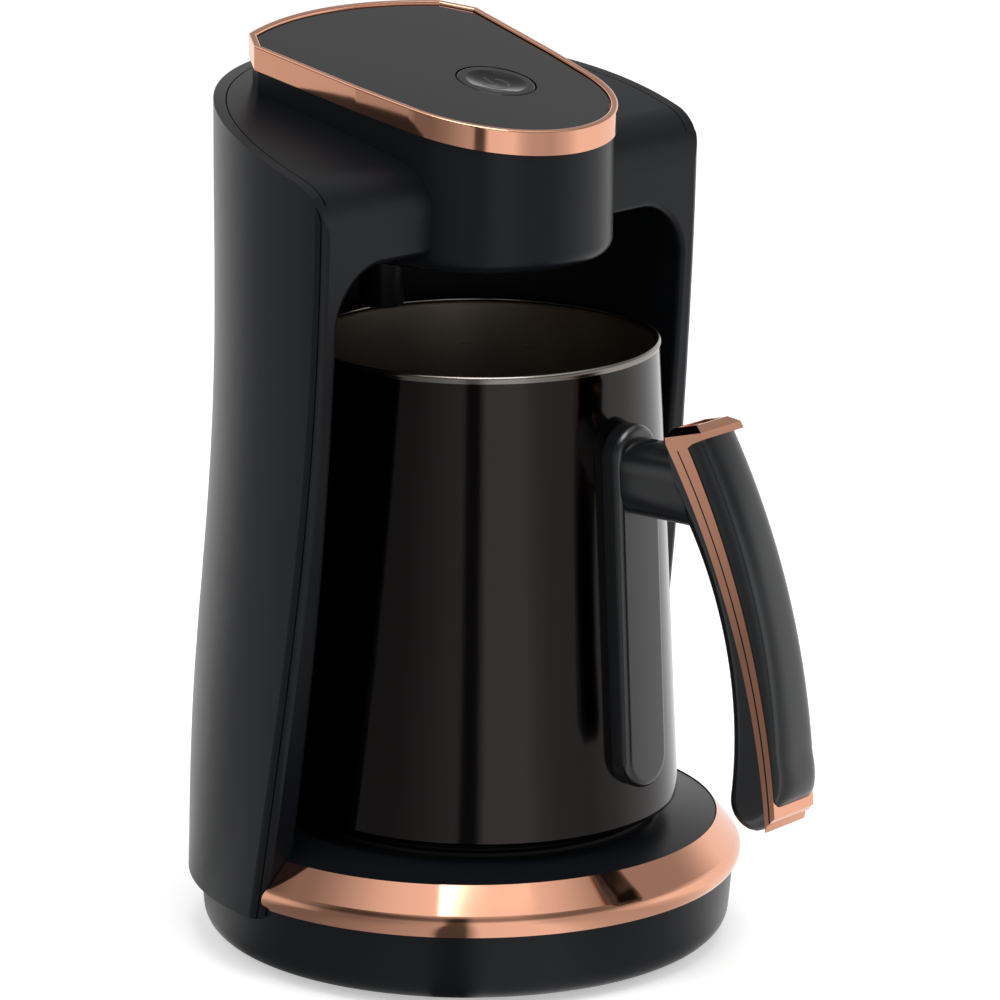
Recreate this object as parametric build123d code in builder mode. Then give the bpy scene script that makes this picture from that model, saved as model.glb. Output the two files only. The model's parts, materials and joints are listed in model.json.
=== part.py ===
from build123d import *
import os
from math import asin, cos, degrees, radians, sin, sqrt

os.makedirs("parts", exist_ok=True)

# An electric maker for Turkish coffee: a round base with a hot plate, a column that wraps round the
# back of the pot bay, and a head that overhangs the pot. Millimetres. The origin is the centre of
# the round base, on the surface it stands on. +Z is up and the front is -Y.

# ---------------------------------------------------------------- driving dimensions
pot_axis_y = -4.0  # the pot stands this far in front of the base's centre
pot_turn = 5.0  # degrees that the pot's handle stands turned from straight ahead

# base
foot_height = 1.5
foot_ring_outer = 50.6
foot_ring_width = 4.0
foot_ring_seat = 0.9
base_bottom_radius = 66.2  # where the bowl's side would meet its flat underside
base_rim_radius = 67.8
base_rim_z = 19.3
base_corner = 6.0
small_edge = 0.5  # rounding or bevel of small parts
base_wall = 2.4
base_floor = 2.9
service_opening_radius = 38.0
service_ring_height = 3.6
cover_radius = 44.0
cover_thickness = 1.6
cover_sunk = 0.8  # the cover lies this far inside the bowl's underside
cover_slot_count = 7
cover_slot_pitch = 5.0
cover_slot_length = 36.0
cover_slot_width = 2.0

# cord inlet
inlet_z = 7.6
inlet_flat_y = 62.6
inlet_bore = 3.1
gland_radius = 4.6
gland_flange_radius = 5.2
gland_flange = 1.5
inlet_wall = 2.4

# copper trim round the base
base_trim_radius = 68.6
base_trim_bulge = 1.0  # how far its side swells past its lower edge
base_trim_side = 5.5  # height of its upright side
base_trim_inner_radius = 63.4
base_trim_slope = 6.3  # rise of its sloping top
base_trim_wall = 1.8

# column
column_foot_z = 16.5
column_foot_radius = 70.6
column_half_width = 67.7  # at and above the waist
column_half_depth = 64.0
column_axis_y = -4.0  # centre of its outline at and above the waist
column_waist_z = 153.5
column_top_z = 233.5
column_flare = 1.6  # how late the foot starts to swell out
shell_wall = 3.0
seam = 0.3  # gap along the joint between two casings
housing_wall = 2.4

# side view of the column: its front face is a long arc that falls back towards the foot
face_crest_y = -16.8
face_crest_z = 215.0
face_radius = 1000.0
seam_setback = 1.4  # the rear shell starts this far behind the front face
shoulder_radius = 340.0
shoulder_crest_y = 98.0
shoulder_crest_z = 220.4
shoulder_corner = 13.0
shell_corner = 10.0
wing_corner = 3.2  # rounding between the column's sides and its front face

# bay
bay_half_width = 60.8
bay_depth = 55.5  # from the pot's axis to the back
bay_ceiling_z = 181.5
bay_corner = 15.0
bay_mouth_rounding = 1.6

# deck of the bay
deck_edge_radius = 63.1
deck_edge_z = 30.9
deck_flat_radius = 50.0
deck_flat_z = 33.0
deck_thickness = 2.4
deck_skirt_z = 17.5

# head
head_nose_y = -4.8
head_nose_radius = 32.8
head_side_radius = 8.0
head_side_x = 27.2  # centre of the rounding between nose and side
head_side_y = 6.0
head_corner_half_width = 39.1
head_corner_y = 36.0
head_back_half_width = 33.3
head_back_y = 44.0
head_crown_y = 50.8
head_tilt = 11.8  # degrees that the head's top slopes down to the front
head_rim_z = 218.5  # top of the copper trim, above the pot's axis
head_bottom_z = 176.5
head_bottom_rounding = 4.0
head_trim_height = 5.8
head_trim_width = 1.8
head_trim_overhang = 0.9
head_ledge_width = 3.0
panel_recess = 0.7
panel_thickness = 2.2

# power button
button_radius = 9.9
button_x = 5.0  # off the middle line
button_y = 0.0  # along the sloping panel, from the pot's axis
button_gap = 0.3
button_play = 0.2  # between the button's flange and the panel
button_travel = 0.8
button_dish = 0.9
button_dish_radius = 7.6
button_height = 2.6
button_flange = 1.4
button_flange_width = 1.4
button_stem_radius = 2.5
button_stem_length = 2.0

# control board, under the top panel
switch_gap = 0.1  # past the button's travel, so that the switch stays clear of it
switch_size = 6.0
switch_height = 3.5
plunger_radius = 1.7
plunger_height = 0.5
board_thickness = 1.6
board_margin = 5.5
post_radius = 3.0
post_half_width = 20.0
post_front_y = -10.0
post_back_y = 36.0
led_radius = 1.5
led_offset = 5.8  # from the button's middle
buzzer_radius = 6.0
buzzer_height = 6.0
buzzer_x = -16.0

# froth sensor
sensor_y = 31.0
sensor_radius = 5.7
sensor_wall = 1.4
sensor_tip_z = 156.7
sensor_flange_width = 2.8
sensor_flange = 1.6
sensor_window_radius = 3.2
sensor_window_thickness = 1.4
sensor_board_size = 14.0

# hot plate
plate_top_z = 35.5
plate_radius = 42.0
plate_thickness = 4.8
plate_rounding = 1.2
plate_gap = 2.5
plate_boss_radius = 3.5
plate_boss_circle = 18.0
seal_fit = 0.1
seal_thickness = 1.7
seal_lip = 1.6  # how far the lip stays under the plate's top
seal_flange_radius = 45.9
element_ring_radius = 28.0
element_radius = 3.2
element_gap_angle = 40.0
element_leg_z = 18.5
shield_wall = 0.8
shield_radius = 44.0
shield_flange_radius = 46.4
shield_floor_z = 23.0
thermostat_radius = 8.0
thermostat_height = 6.4
thermostat_tab_width = 3.0
thermostat_tab_length = 24.0
fuse_radius = 2.0
fuse_length = 12.0
fuse_lead_length = 3.0
fuse_lead_radius = 0.5
fuse_x = -14.0

# power board
power_board_length = 84.0
power_board_width = 30.0
power_board_corner = 2.0
transformer_block = (-24.0, 0.0, 20.0, 18.0)  # x, y, length and width
relay_block = (2.0, -6.0, 16.0, 12.0)
terminal_block = (31.0, 0.0, 18.0, 10.0)
capacitor_x = -6.0
capacitor_y = 8.0
capacitor_length = 12.0
component_height = 10.4

# wiring between the two boards
harness_radius = 1.4
harness_x = 12.0
harness_y = 54.4
harness_bend = 18.0
harness_start_y = 14.0
harness_bend_rise = 6.0  # the upper bend's corner above the bay's ceiling
harness_end_y = 37.0
harness_end_z = 210.5

# pot
pot_height = 119.0
pot_lift = 1.0  # the wall's foot stands this far above the plate
pot_rim_radius = 44.3
pot_foot_radius = 50.5
pot_wall = 0.9
pot_bead_radius = 0.9
pot_foot_rounding = 2.0
pot_base_radius = 46.0
pot_base_thickness = 2.6

# handle, measured from the pot's axis outwards and up from the table
pad_low_z = 48.0
pad_high_z = 139.5
pad_width = 16.0
pad_proud = 5.0
pad_rounding = 2.0
bracket_width = 9.0
bracket_margin = 6.0
bracket_thickness = 1.4
handle_fit = 0.05
neck_low_z = 117.5
neck_high_z = 136.5
neck_width = 15.0
neck_rounding = 7.2
neck_outward = 70.0
grip_half_width = 7.6
grip_rounding = 4.0
grip_trim_proud = 0.4
grip_trim_groove = 1.2
cap_thickness = 3.6
cap_chamfer = 1.2
plug_length = 8.0
plug_width = 6.0
plug_corner = 1.0
plug_depth = 1.6
plug_sunk = 0.5

# side view of the grip, as (outwards, up) points
grip_top_inner = (63.5, 142.0)
grip_top_outer = (73.9, 144.8)
grip_outer_mid = (93.0, 104.5)
grip_outer_low = (100.6, 65.0)
grip_outer_bend = (98.7, 51.0)
grip_tip = (91.0, 45.4)
grip_inner_bend = (85.0, 48.1)
grip_inner_low = (83.4, 53.5)
grip_inner_mid = (81.6, 88.5)
grip_inner_high = (68.5, 120.5)
band_inner_edge = (64.2, 138.5), (86.0, 93.5), (96.3, 45.5)
band_outer_edge = (71.0, 138.5), (90.0, 95.0), (99.2, 47.5)

# fasteners
screw_head_radius = 2.9
screw_head_height = 1.9
screw_radius = 1.5
screw_fit = 0.05
pillar_radius = 4.0
pillar_circle = 54.5
base_screw_length = 12.0
cover_screw_length = 5.2
plate_screw_length = 5.8
board_screw_length = 6.0
handle_screw_length = 11.0
handle_screw_tip = 46.6
handle_screw_pitch = 9.0

# ---------------------------------------------------------------- sizes that follow
pot_foot_z = plate_top_z + pot_lift
pot_rim_z = plate_top_z + pot_height
base_floor_z = foot_height + base_floor
cover_z = foot_height + cover_sunk
cover_top_z = cover_z + cover_thickness
service_ring_z = base_floor_z + service_ring_height
deck_under_z = deck_flat_z - deck_thickness
seal_low_z = deck_under_z - seal_thickness
plate_low_z = plate_top_z - plate_thickness
shield_floor_top_z = shield_floor_z + shield_wall
screw_hole = screw_radius + screw_fit

pot_axis = Axis((0, pot_axis_y, 0), (0, 0, 1))
pot_section = Plane(origin=(0, pot_axis_y, 0), x_dir=(1, 0, 0), z_dir=(0, -1, 0))
handle_side = Plane(origin=(0, pot_axis_y, 0), x_dir=(0, -1, 0), z_dir=(-1, 0, 0))
head_top = Plane(
    origin=(0, pot_axis_y, head_rim_z),
    x_dir=(1, 0, 0),
    z_dir=(0, -sin(radians(head_tilt)), cos(radians(head_tilt))),
)


# ---------------------------------------------------------------- forms that several pieces share
def flare(height):
    """How much of the foot's swelling is left at a height: 1 at the foot, 0 from the waist up."""
    share = max(column_waist_z - height, 0) / (column_waist_z - column_foot_z)
    return sin(radians(90 * share)) ** column_flare


def face_y(height):
    """Where the column's front face stands at a height."""
    return face_crest_y + face_radius - sqrt(face_radius**2 - (face_crest_z - height) ** 2)


def column_form(inset, front_inset):
    """The column's outer form, with its curved wall and its front face drawn in."""
    steps = 6
    with BuildPart() as form:
        for step in range(steps + 1):
            height = column_foot_z + (column_top_z - column_foot_z) * step / steps
            swell = flare(height)
            wide = column_half_width + (column_foot_radius - column_half_width) * swell - inset
            deep = column_half_depth + (column_foot_radius - column_half_depth) * swell - inset
            middle_y = column_axis_y * (1 - swell)
            dip = degrees(asin((middle_y - face_y(height) - front_inset) / deep))
            with BuildSketch(Plane.XY.offset(height)) as section:
                with BuildLine():
                    wrap = EllipticalCenterArc((0, middle_y), wide, deep, -dip, arc_size=180 + 2 * dip)
                    Line(wrap @ 1, wrap @ 0)
                make_face()
                fillet(section.vertices().group_by(Axis.Y)[0], max(wing_corner - inset, 1))
        loft()
    return form.part


def shoulder_z(y):
    """Height of the shoulders, a long arc that drops to the front."""
    return shoulder_crest_z - shoulder_radius + sqrt(shoulder_radius**2 - (y - shoulder_crest_y) ** 2)


def side_slab(setback, corner, lowering=0.0):
    """A slab across the whole column, from a line behind its front face and under its shoulders."""
    low_z = column_foot_z - 5
    front_top_y = face_y(shoulder_z(face_crest_y) - lowering) + setback
    front_top_z = shoulder_z(front_top_y) - lowering
    middle_z = (low_z + front_top_z) / 2
    back_y = column_foot_radius + 10
    middle_y = (front_top_y + back_y) / 2
    with BuildPart() as slab:
        with BuildSketch(Plane.YZ) as profile:
            with BuildLine():
                ThreePointArc(
                    (face_y(low_z) + setback, low_z),
                    (face_y(middle_z) + setback, middle_z),
                    (front_top_y, front_top_z),
                )
                ThreePointArc(
                    (front_top_y, front_top_z),
                    (middle_y, shoulder_z(middle_y) - lowering),
                    (back_y, shoulder_z(back_y) - lowering),
                )
                Polyline(
                    (back_y, shoulder_z(back_y) - lowering),
                    (back_y, low_z),
                    (face_y(low_z) + setback, low_z),
                )
            make_face()
            fillet(profile.vertices().sort_by(Axis.Y)[-2:].sort_by(Axis.X)[0], corner)
        extrude(amount=2 * column_foot_radius, both=True)
    return slab.part


def face_slab(inset):
    """Everything under the shoulders and behind the front face, drawn in by inset."""
    skim = 0.06  # takes a hair off the front, so that two forms never share a face
    return side_slab(inset + skim, shoulder_corner - inset, inset)


def seam_slab(inset):
    """Everything behind the rear shell's front edge, moved back by inset."""
    return side_slab(seam_setback + inset, shell_corner)


def bay_form(wall):
    """The space round the pot, grown by a wall."""
    wide = bay_half_width + wall
    reach = 2 * bay_depth
    with BuildPart() as bay:
        with BuildSketch():
            with Locations((0, pot_axis_y)):
                Ellipse(wide, bay_depth + wall)
            with Locations((0, pot_axis_y - reach / 2)):
                Rectangle(2 * wide, reach)
        extrude(amount=bay_ceiling_z + wall)
        ceiling = bay.faces().sort_by(Axis.Z)[-1]
        upper_edges = ceiling.edges().filter_by(lambda edge: edge.center().Y > pot_axis_y - reach + 1)
        fillet(upper_edges, bay_corner + wall)
    return bay.part


def bowl_form(wall, floor):
    """The base's bowl up to its rim, drawn in by a wall and a floor."""
    with BuildPart() as bowl:
        with BuildSketch(Plane.XZ) as section:
            with BuildLine():
                Polyline(
                    (0, foot_height + floor),
                    (base_bottom_radius - wall, foot_height + floor),
                    (base_rim_radius - wall, base_rim_z),
                    (0, base_rim_z),
                    close=True,
                )
            make_face()
            fillet(section.vertices().sort_by(Axis.Y)[:2].sort_by(Axis.X)[-1], base_corner - wall)
        revolve(axis=Axis.Z)
    return bowl.part


def disc(plane_z, radius, thickness, y=0.0):
    """An upright disc on the machine's middle, or at a y."""
    with BuildPart() as plain_disc:
        with BuildSketch(Plane.XY.offset(plane_z)):
            with Locations((0, y)):
                Circle(radius)
        extrude(amount=thickness)
    return plain_disc.part


def head_outline(inset):
    """The head's plan: a round nose, sides that widen to the back, and a curved back."""
    with BuildSketch() as outline:
        with BuildLine() as border:
            CenterArc((0, head_nose_y), head_nose_radius, 180, 180)
            CenterArc((head_side_x, head_side_y), head_side_radius, -90, 180)
            CenterArc((-head_side_x, head_side_y), head_side_radius, 90, 180)
            corner_right = (head_corner_half_width, head_corner_y)
            back_right = (head_back_half_width, head_back_y)
            corner_left = (-head_corner_half_width, head_corner_y)
            back_left = (-head_back_half_width, head_back_y)
            Line(corner_right, back_right)
            Line(corner_left, back_left)
            ThreePointArc(back_right, (0, head_crown_y), back_left)
        make_hull(border.edges())
        if inset:
            offset(amount=-inset)
    return outline.sketch


def head_prism(inset, low_z, below_rim):
    """An upright prism on the head's plan, cut off along the sloping top."""
    with BuildPart() as prism:
        with BuildSketch(Plane.XY.offset(low_z)):
            add(head_outline(inset))
        extrude(amount=column_top_z + 10 - low_z)
        split(bisect_by=head_top.offset(-below_rim), keep=Keep.BOTTOM)
    return prism.part


def pot_form(grow):
    """The pot's outer cone, grown all round."""
    with BuildPart() as cone:
        with BuildSketch(pot_section):
            with BuildLine():
                Polyline(
                    (0, pot_foot_z),
                    (pot_foot_radius + grow, pot_foot_z),
                    (pot_rim_radius + grow, pot_rim_z),
                    (0, pot_rim_z),
                    close=True,
                )
            make_face()
        revolve(axis=pot_axis)
    return cone.part


def pad_form(width, margin, proud):
    """A round-ended strip on the pot's wall, with its inner side on the pot's cone."""
    with BuildPart() as strip:
        with BuildSketch(pot_section):
            with Locations((0, (pad_low_z + pad_high_z) / 2)):
                SlotOverall(pad_high_z - pad_low_z - 2 * margin, width, rotation=90)
        extrude(amount=2 * pot_foot_radius)
        add(pot_form(proud), mode=Mode.INTERSECT)
        add(pot_form(handle_fit), mode=Mode.SUBTRACT)
    return strip.part


def cap_form(grow):
    """Everything above the underside of the grip's cap, which is lowered by grow."""
    inner, outer = Vector(*grip_top_inner), Vector(*grip_top_outer)
    run = outer - inner
    drop = Vector(0, cap_thickness + grow)
    rise = Vector(0, cap_thickness)
    with BuildPart() as cap:
        with BuildSketch(handle_side):
            with BuildLine():
                Polyline(inner - run - drop, outer + run - drop, outer + run + rise, inner - run + rise,
                         close=True)
            make_face()
        extrude(amount=4 * grip_half_width, both=True)
    return cap.part


def grip_form(half_width):
    """The grip's whole side view, made as wide as asked."""
    with BuildPart() as grip:
        with BuildSketch(handle_side):
            with BuildLine():
                Line(grip_top_inner, grip_top_outer)
                ThreePointArc(grip_top_outer, grip_outer_mid, grip_outer_low)
                ThreePointArc(grip_outer_low, grip_outer_bend, grip_tip)
                ThreePointArc(grip_tip, grip_inner_bend, grip_inner_low)
                ThreePointArc(grip_inner_low, grip_inner_mid, grip_inner_high)
                Line(grip_inner_high, grip_top_inner)
            make_face()
        extrude(amount=half_width, both=True)
    return grip.part


def behind_arc(arc, shift, outer_side):
    """The half of the handle's side view on one side of a band edge, moved outwards by shift."""
    start, middle, end = [(outward + shift, up) for outward, up in arc]
    side = 140 if outer_side else 40
    with BuildPart() as half:
        with BuildSketch(handle_side):
            with BuildLine():
                ThreePointArc(start, middle, end)
                Polyline(end, (side, end[1]), (side, start[1] + 20), (start[0], start[1] + 20), start)
            make_face()
        extrude(amount=4 * grip_half_width, both=True)
    return half.part


def pan_screw(length):
    """A pan-head screw that points up from its head's seat at z = 0."""
    edge = 0.6
    slot_depth = 0.9
    with BuildPart() as screw:
        with BuildSketch(Plane.XZ):
            with BuildLine():
                Polyline(
                    (0, -screw_head_height),
                    (screw_head_radius - edge, -screw_head_height),
                    (screw_head_radius, -edge),
                    (screw_head_radius, 0),
                    (screw_radius, 0),
                    (screw_radius, length - screw_radius),
                    (0, length),
                    close=True,
                )
            make_face()
        revolve(axis=Axis.Z)
        with BuildSketch(Plane.XY.offset(-screw_head_height)):
            Rectangle(screw_head_radius, edge)
            Rectangle(edge, screw_head_radius)
        extrude(amount=slot_depth, mode=Mode.SUBTRACT)
    return screw.part


def finish(piece, label, turn=0.0):
    """Label a finished piece and write it. The pot's pieces are turned about the pot's axis."""
    solid = piece.part.rotate(pot_axis, turn) if turn else piece.part
    solid.label = label
    export_step(solid, f"parts/{label}.step")


# ---------------------------------------------------------------- column casings
with BuildPart() as column_block:
    add(column_form(0, 0))
    add(face_slab(0), mode=Mode.INTERSECT)

with BuildPart() as rear_shell:
    add(column_block.part)
    add(seam_slab(0), mode=Mode.INTERSECT)
    add(column_form(shell_wall, 0), mode=Mode.SUBTRACT)
    # its foot hangs round the bowl's rim
    add(disc(0, base_rim_radius + seam, base_rim_z + seam), mode=Mode.SUBTRACT)
finish(rear_shell, "rear_shell")

with BuildPart() as hollow_behind_seam:
    add(column_form(shell_wall - seam, 0))
    add(seam_slab(housing_wall), mode=Mode.INTERSECT)
    add(face_slab(housing_wall), mode=Mode.INTERSECT)

with BuildPart() as hollow:
    # what lies between the bay's wall and the rear shell, and inside the head
    add(column_form(shell_wall + housing_wall, 0))
    add(face_slab(housing_wall), mode=Mode.INTERSECT)
    add(hollow_behind_seam.part)
    add(bay_form(housing_wall), mode=Mode.SUBTRACT)
    add(head_prism(head_trim_overhang + housing_wall, head_bottom_z + housing_wall, -10))

with BuildPart() as shell_space:
    # where the rear shell stands
    add(seam_slab(-seam))
    add(column_form(shell_wall + seam, 0), mode=Mode.SUBTRACT)

with BuildPart() as head_form:
    add(head_prism(head_trim_overhang, head_bottom_z, head_trim_height))
    fillet(head_form.faces().sort_by(Axis.Z)[0].edges(), head_bottom_rounding)

pillar_angles = PolarLocations(pillar_circle, 4, start_angle=45)
with BuildPart() as bay_deck:
    with BuildSketch(Plane.XZ):
        with BuildLine():
            skirt_inner = deck_edge_radius - deck_thickness
            Polyline(
                (0, deck_flat_z),
                (deck_flat_radius, deck_flat_z),
                (deck_edge_radius, deck_edge_z),
                (deck_edge_radius, deck_skirt_z),
                (skirt_inner, deck_skirt_z),
                (skirt_inner, deck_edge_z - deck_thickness),
                (deck_flat_radius, deck_under_z),
                (0, deck_under_z),
                close=True,
            )
        make_face()
    revolve(axis=Axis.Z)
    # pillars for the base screws hang from the deck
    with BuildSketch(Plane.XY.offset(base_floor_z)):
        with pillar_angles:
            Circle(pillar_radius)
    extrude(amount=deck_under_z - base_floor_z)
    with BuildSketch(Plane.XY.offset(base_floor_z)):
        with pillar_angles:
            Circle(screw_hole)
    extrude(amount=base_screw_length + 1, mode=Mode.SUBTRACT)

with BuildPart() as front_housing:
    add(column_block.part)
    add(bay_form(0), mode=Mode.SUBTRACT)
    arched_faces = front_housing.faces().filter_by(GeomType.CYLINDER)
    front_face = arched_faces.sort_by(lambda face: face.radius)[-1]
    bay_edges = front_face.edges().filter_by(lambda edge: abs(edge.center().X) < bay_half_width + 1)
    fillet(bay_edges.filter_by(lambda edge: edge.center().Z < bay_ceiling_z + 1), bay_mouth_rounding)
    add(shell_space.part, mode=Mode.SUBTRACT)
    add(head_form.part)
    add(hollow.part, mode=Mode.SUBTRACT)
    # the foot stands over the bowl's rim, and the bay's wall ends on the deck
    add(disc(0, base_rim_radius + seam, base_rim_z + seam), mode=Mode.SUBTRACT)
    add(disc(0, skirt_inner, deck_under_z), mode=Mode.SUBTRACT)
    add(bay_deck.part)
    add(disc(0, plate_radius + plate_gap, deck_flat_z + 1, pot_axis_y), mode=Mode.SUBTRACT)
    # holes for the froth sensor and for the wiring
    add(disc(head_bottom_z - 1, sensor_radius + seam, housing_wall + 2, sensor_y), mode=Mode.SUBTRACT)
    with BuildSketch(Plane.XY.offset(deck_under_z - deck_thickness)):
        with Locations((harness_x, harness_y)):
            Circle(harness_radius + 2 * seam)
    extrude(amount=3 * deck_thickness, mode=Mode.SUBTRACT)
finish(front_housing, "front_housing")

# ---------------------------------------------------------------- base
inlet_high_z = inlet_z + gland_flange_radius + seam / 2
inlet_half_width = gland_flange_radius + 1
with BuildPart() as inlet_block:
    # carries the cord's gland, inside the bowl's form
    with BuildSketch(Plane.XY.offset(foot_height)):
        with Locations((0, inlet_flat_y)):
            Rectangle(2 * (inlet_half_width + inlet_wall), 2 * inlet_wall)
    extrude(amount=deck_skirt_z - seam - foot_height)
    add(bowl_form(0, 0), mode=Mode.INTERSECT)

with BuildPart() as base_housing:
    add(bowl_form(0, 0))
    add(bowl_form(base_wall, base_floor), mode=Mode.SUBTRACT)
    # ring round the service opening, for the cover's screws
    add(disc(foot_height, cover_radius + cover_thickness, service_ring_z - foot_height))
    add(disc(0, service_opening_radius, service_ring_z + 1), mode=Mode.SUBTRACT)
    add(disc(foot_height, cover_radius + seam, cover_top_z - foot_height), mode=Mode.SUBTRACT)
    cover_screw_circle = (service_opening_radius + cover_radius) / 2
    with BuildSketch(Plane.XY):
        with PolarLocations(cover_screw_circle, 3, start_angle=90):
            Circle(screw_hole)
    extrude(amount=service_ring_z + 1, mode=Mode.SUBTRACT)
    # holes and sunk seats for the base screws
    with BuildSketch(Plane.XY):
        with pillar_angles:
            Circle(screw_hole)
    extrude(amount=base_floor_z + 1, mode=Mode.SUBTRACT)
    base_screw_seat_z = foot_height + screw_head_height
    with BuildSketch(Plane.XY):
        with pillar_angles:
            Circle(screw_head_radius + 2 * screw_fit)
    extrude(amount=base_screw_seat_z, mode=Mode.SUBTRACT)
    # groove for the foot ring
    with BuildSketch(Plane.XY):
        Circle(foot_ring_outer + 2 * screw_fit)
        Circle(foot_ring_outer - foot_ring_width - 2 * screw_fit, mode=Mode.SUBTRACT)
    extrude(amount=foot_height + foot_ring_seat, mode=Mode.SUBTRACT)
    # a flat and a hole for the cord's gland
    add(inlet_block.part)
    with BuildSketch(Plane.XY.offset(foot_height)):
        with Locations((0, inlet_flat_y)):
            Rectangle(2 * inlet_half_width, base_rim_radius, align=(Align.CENTER, Align.MIN))
    extrude(amount=inlet_high_z - foot_height, mode=Mode.SUBTRACT)
    with BuildSketch(Plane.XZ.offset(-inlet_flat_y - 1)):
        with Locations((0, inlet_z)):
            Circle(gland_radius + 2 * screw_fit)
    extrude(amount=2 * inlet_wall, mode=Mode.SUBTRACT)
    # room for the gland's collar in the floor behind it
    with BuildSketch(Plane.XZ.offset(inlet_wall - inlet_flat_y)):
        with Locations((0, inlet_z)):
            Circle(gland_radius + 2 * seam)
    extrude(amount=2 * gland_flange, mode=Mode.SUBTRACT)
finish(base_housing, "base_housing")

gland_back = Plane.XZ.offset(-inlet_flat_y - gland_flange)
gland_length = 2 * gland_flange + inlet_wall + 2 * screw_fit
with BuildPart() as cord_gland:
    with BuildSketch(gland_back):
        with Locations((0, inlet_z)):
            Circle(gland_flange_radius)
    extrude(amount=gland_flange)
    with BuildSketch(gland_back):
        with Locations((0, inlet_z)):
            Circle(gland_radius)
    extrude(amount=gland_length)
    with BuildSketch(gland_back.offset(gland_length - gland_flange)):
        with Locations((0, inlet_z)):
            Circle(gland_radius + seam)
    extrude(amount=gland_flange)
    with BuildSketch(gland_back):
        with Locations((0, inlet_z)):
            Circle(inlet_bore)
    extrude(amount=gland_length, mode=Mode.SUBTRACT)
finish(cord_gland, "cord_gland")

with BuildPart() as foot_ring:
    with BuildSketch():
        Circle(foot_ring_outer)
        Circle(foot_ring_outer - foot_ring_width, mode=Mode.SUBTRACT)
    extrude(amount=foot_height + foot_ring_seat)
finish(foot_ring, "foot_ring")

with BuildPart() as base_cover:
    add(disc(cover_z, cover_radius, cover_thickness))
    with BuildSketch(Plane.XY.offset(cover_z)):
        with PolarLocations(cover_screw_circle, 3, start_angle=90):
            Circle(screw_hole)
        # cooling slots
        with GridLocations(0, cover_slot_pitch, 1, cover_slot_count):
            SlotOverall(cover_slot_length, cover_slot_width)
    extrude(amount=cover_thickness, mode=Mode.SUBTRACT)
finish(base_cover, "base_cover")

with BuildPart() as cover_screws:
    cover_screw = pan_screw(cover_screw_length).moved(Location((0, 0, cover_z)))
    with PolarLocations(cover_screw_circle, 3, start_angle=90):
        add(cover_screw)
finish(cover_screws, "cover_screws")

with BuildPart() as base_screws:
    base_screw = pan_screw(base_screw_length).moved(Location((0, 0, base_screw_seat_z)))
    with pillar_angles:
        add(base_screw)
finish(base_screws, "base_screws")

with BuildPart() as base_trim:
    with BuildSketch(Plane.XZ):
        with BuildLine():
            crease_z = base_rim_z + base_trim_side
            top_z = crease_z + base_trim_slope
            inner_low = base_trim_radius - base_trim_wall
            ThreePointArc(
                (base_trim_radius, base_rim_z),
                (base_trim_radius + base_trim_bulge, (base_rim_z + crease_z) / 2),
                (base_trim_radius, crease_z),
            )
            Polyline(
                (base_trim_radius, crease_z),
                (base_trim_inner_radius, top_z),
                (base_trim_inner_radius, top_z - base_trim_wall),
                (inner_low, crease_z - base_trim_wall / 2),
                (inner_low, base_rim_z),
                (base_trim_radius, base_rim_z),
            )
        make_face()
    revolve(axis=Axis.Z)
    # it ends where the column starts
    add(column_form(-seam, -seam) & face_slab(-seam), mode=Mode.SUBTRACT)
finish(base_trim, "base_trim")

# ---------------------------------------------------------------- hot plate and what lies under it
def plate_bosses():
    """Places of the three bosses under the plate, round the middle of the sketch they are used in."""
    return PolarLocations(plate_boss_circle, 3, start_angle=30)


pot_floor = Plane(origin=(0, pot_axis_y, 0))
with BuildPart() as hot_plate:
    with BuildSketch(pot_floor.offset(plate_low_z)):
        Circle(plate_radius)
    extrude(amount=plate_thickness)
    fillet(hot_plate.edges().sort_by(Axis.Z)[-1], plate_rounding)
    with BuildSketch(pot_floor.offset(shield_floor_top_z)):
        with plate_bosses():
            Circle(plate_boss_radius)
    extrude(amount=plate_low_z - shield_floor_top_z)
    with BuildSketch(pot_floor.offset(shield_floor_top_z)):
        with plate_bosses():
            Circle(screw_hole)
    extrude(amount=plate_screw_length + screw_fit, mode=Mode.SUBTRACT)
finish(hot_plate, "hot_plate")

with BuildPart() as plate_seal:
    with BuildSketch(pot_floor.offset(seal_low_z)):
        Circle(seal_flange_radius)
        Circle(plate_radius + seal_fit, mode=Mode.SUBTRACT)
    extrude(amount=seal_thickness)
    with BuildSketch(pot_floor.offset(seal_low_z)):
        Circle(plate_radius + plate_gap - seal_fit)
        Circle(plate_radius + seal_fit, mode=Mode.SUBTRACT)
    extrude(amount=plate_top_z - seal_lip - seal_low_z)
finish(plate_seal, "plate_seal")

element_z = plate_low_z - element_radius - seal_fit
element_section = pot_section.rotated((0, 0, 90 + element_gap_angle / 2))
leg_x = element_ring_radius * sin(radians(element_gap_angle / 2))
leg_y = element_ring_radius * cos(radians(element_gap_angle / 2))
element_legs = [(-leg_x, leg_y), (leg_x, leg_y)]
with BuildPart() as heating_element:
    with BuildSketch(element_section):
        with Locations((element_ring_radius, element_z)):
            Circle(element_radius)
    revolve(axis=pot_axis, revolution_arc=360 - element_gap_angle)
    with BuildSketch(pot_floor.offset(element_leg_z)):
        with Locations(*element_legs):
            Circle(element_radius)
    extrude(amount=element_z - element_leg_z)
finish(heating_element, "heating_element")

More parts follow.
